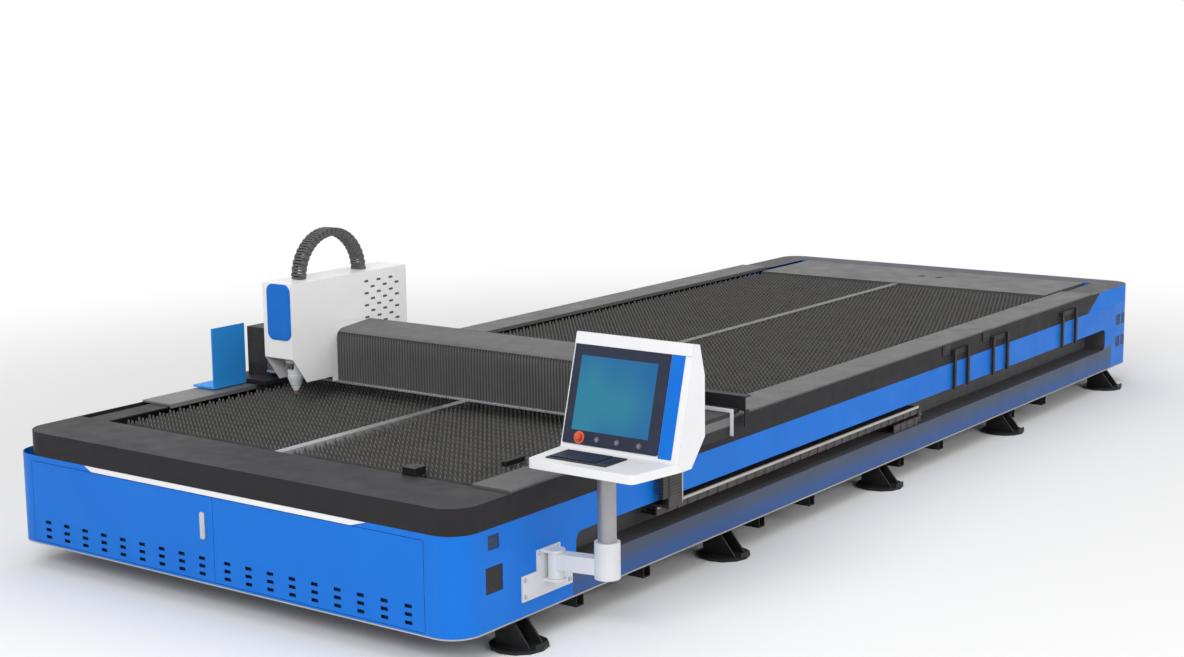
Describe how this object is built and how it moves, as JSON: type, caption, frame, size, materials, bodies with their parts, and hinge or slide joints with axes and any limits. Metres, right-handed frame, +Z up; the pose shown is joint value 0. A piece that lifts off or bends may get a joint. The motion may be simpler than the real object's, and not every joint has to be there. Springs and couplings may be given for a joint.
{
  "type": "fiber laser cutting machine",
  "caption": "Open flat bed laser sheet cutter: toothed slat table, travelling gantry with bellows and cutting head, swing out operator console.",
  "frame": {"origin": "on the floor, at the centre of the four corner anchor holes, which is under the bed's centre", "axes": "+X along the bed away from the doors, -Y towards the operator's console, +Z up"},
  "size_m": [8.194, 3.937, 1.7299],
  "materials": {
    "blue_paint": "satin",
    "rim_paint": "satin",
    "cover_grey": "satin",
    "white_paint": "satin",
    "frame_black": "satin",
    "slat_steel": "matte",
    "rail_steel": "polished",
    "bellows_cloth": "matte",
    "chain_plastic": "matte",
    "pole_grey": "satin",
    "bezel_black": "matte",
    "screen_glass": "polished",
    "key_plastic": "matte",
    "stop_red": "polished",
    "button_metal": "satin",
    "drive_black": "satin",
    "head_metal": "satin",
    "nozzle_copper": "satin",
    "handle_steel": "satin"
  },
  "bodies": {
    "bed": {"front_deck": "rim_paint", "rail_boxes": "rim_paint", "rail_covers": "cover_grey", "bed_beams": "frame_black", "lower_frames": "frame_black", "cross_members": "frame_black", "foot_stands": "frame_black", "levelling_screws": "rail_steel", "front_shell": "blue_paint", "front_trim": "white_paint", "right_side_panel": "blue_paint", "left_side_panel": "blue_paint", "chain_trough": "rim_paint", "rear_shell": "blue_paint", "rear_rim": "blue_paint", "rear_deck": "cover_grey", "table_slats": "slat_steel", "slat_combs": "slat_steel", "slag_pans": "frame_black", "rails_and_racks": "rail_steel", "side_posts": "frame_black", "console_bracket": "pole_grey", "door_pins": "rail_steel", "chain_lower_run": "chain_plastic"},
    "left_leaf": {"door_left": "blue_paint", "door_handle": "handle_steel"},
    "right_leaf": {"door_right": "blue_paint"},
    "arm": {"console_arm": "pole_grey"},
    "console": {"console_pole": "pole_grey", "console_shell": "white_paint", "console_bezel": "bezel_black", "console_display": "screen_glass", "keyboard": "key_plastic"},
    "stop_knob": {"estop_knob": "stop_red"},
    "key_left": {"button_left": "button_metal"},
    "key_middle": {"button_middle": "button_metal"},
    "key_right": {"button_right": "button_metal"},
    "gantry": {"gantry_beam": "frame_black", "saddles": "rim_paint", "end_cover_left": "blue_paint", "end_cover_right": "white_paint", "bellows_long": "bellows_cloth", "bellows_short": "bellows_cloth", "beam_rails": "rail_steel", "x_drives": "drive_black", "chain_arm": "frame_black", "chain_upper_run": "chain_plastic"},
    "chain_turn": {"chain_loop": "chain_plastic"},
    "carriage": {"carriage_plate": "head_metal", "head_housing": "white_paint", "head_front_plate": "blue_paint", "arch_chain": "chain_plastic", "carriage_drives": "drive_black"},
    "head": {"z_slide": "head_metal", "cutting_head": "head_metal", "nozzle": "nozzle_copper"},
    "pinion_right": {"x_pinion_right": "rail_steel"},
    "pinion_left": {"x_pinion_left": "rail_steel"},
    "pinion_beam": {"y_pinion": "rail_steel"},
    "lift_screw": {"z_screw": "rail_steel"}
  },
  "joints": [
    {"name": "gantry_travel", "type": "slide", "parent": "bed", "child": "gantry", "axis": [1, 0, 0], "range_m": [-0.65, 5.5], "deforming": ["chain_upper_run"]},
    {"name": "chain_turn_travel", "type": "slide", "parent": "bed", "child": "chain_turn", "axis": [1, 0, 0], "range_m": [-0.33, 2.76], "deforming": ["chain_lower_run"]},
    {"name": "pinion_right_spin", "type": "hinge", "parent": "gantry", "child": "pinion_right", "pos_m": [-1.79, -1.3077, 0.7], "axis": [0, 0, 1], "range_deg": [-10534.2, 1271.4]},
    {"name": "pinion_left_spin", "type": "hinge", "parent": "gantry", "child": "pinion_left", "pos_m": [-1.79, 1.2177, 0.7], "axis": [0, 0, 1], "range_deg": [-1271.4, 10534.2]},
    {"name": "carriage_travel", "type": "slide", "parent": "gantry", "child": "carriage", "axis": [0, 1, 0], "range_m": [-1.88, 0], "deforming": ["bellows_long", "bellows_short"]},
    {"name": "pinion_beam_spin", "type": "hinge", "parent": "carriage", "child": "pinion_beam", "pos_m": [-2.5, 0.74, 0.9867], "axis": [1, 0, 0], "range_deg": [-3620.5, 30]},
    {"name": "head_height", "type": "slide", "parent": "carriage", "child": "head", "axis": [0, 0, 1], "range_m": [-0.02, 0.12]},
    {"name": "lift_screw_spin", "type": "hinge", "parent": "carriage", "child": "lift_screw", "pos_m": [-2.605, 0.74, 1.1], "axis": [0, 0, 1], "range_deg": [-750, 4350]},
    {"name": "door_left_hinge", "type": "hinge", "parent": "bed", "child": "left_leaf", "pos_m": [-4.0845, 1.401, 0.378], "axis": [0, 0, 1], "range_deg": [-105, 0]},
    {"name": "door_right_hinge", "type": "hinge", "parent": "bed", "child": "right_leaf", "pos_m": [-4.0845, -1.366, 0.378], "axis": [0, 0, 1], "range_deg": [0, 105]},
    {"name": "console_arm_swing", "type": "hinge", "parent": "bed", "child": "arm", "pos_m": [-3.425, -1.625, 0.36], "axis": [0, 0, 1], "range_deg": [-45, 60]},
    {"name": "console_turn", "type": "hinge", "parent": "arm", "child": "console", "pos_m": [-3.376, -1.89, 0.5], "axis": [0, 0, 1], "range_deg": [-60, 60]},
    {"name": "stop_knob_press", "type": "slide", "parent": "console", "child": "stop_knob", "axis": [-0.9641, 0, 0.2656], "range_m": [-0.004, 0], "stiffness_N_per_m": 1500, "springref_m": 0.001},
    {"name": "button_left_press", "type": "slide", "parent": "console", "child": "key_left", "axis": [-0.9641, 0, 0.2656], "range_m": [-0.004, 0], "stiffness_N_per_m": 600, "springref_m": 0.001},
    {"name": "button_middle_press", "type": "slide", "parent": "console", "child": "key_middle", "axis": [-0.9641, 0, 0.2656], "range_m": [-0.004, 0], "stiffness_N_per_m": 600, "springref_m": 0.001},
    {"name": "button_right_press", "type": "slide", "parent": "console", "child": "key_right", "axis": [-0.9641, 0, 0.2656], "range_m": [-0.004, 0], "stiffness_N_per_m": 600, "springref_m": 0.001}
  ],
  "couplings": [
    {"joint": "chain_turn_travel", "follows": "gantry_travel", "ratio": 0.5},
    {"joint": "pinion_right_spin", "follows": "gantry_travel", "rad_per_m": -33.333},
    {"joint": "pinion_left_spin", "follows": "gantry_travel", "rad_per_m": 33.333},
    {"joint": "pinion_beam_spin", "follows": "carriage_travel", "rad_per_m": 33.333},
    {"joint": "lift_screw_spin", "follows": "head_height", "rad_per_m": 628.32}
  ]
}
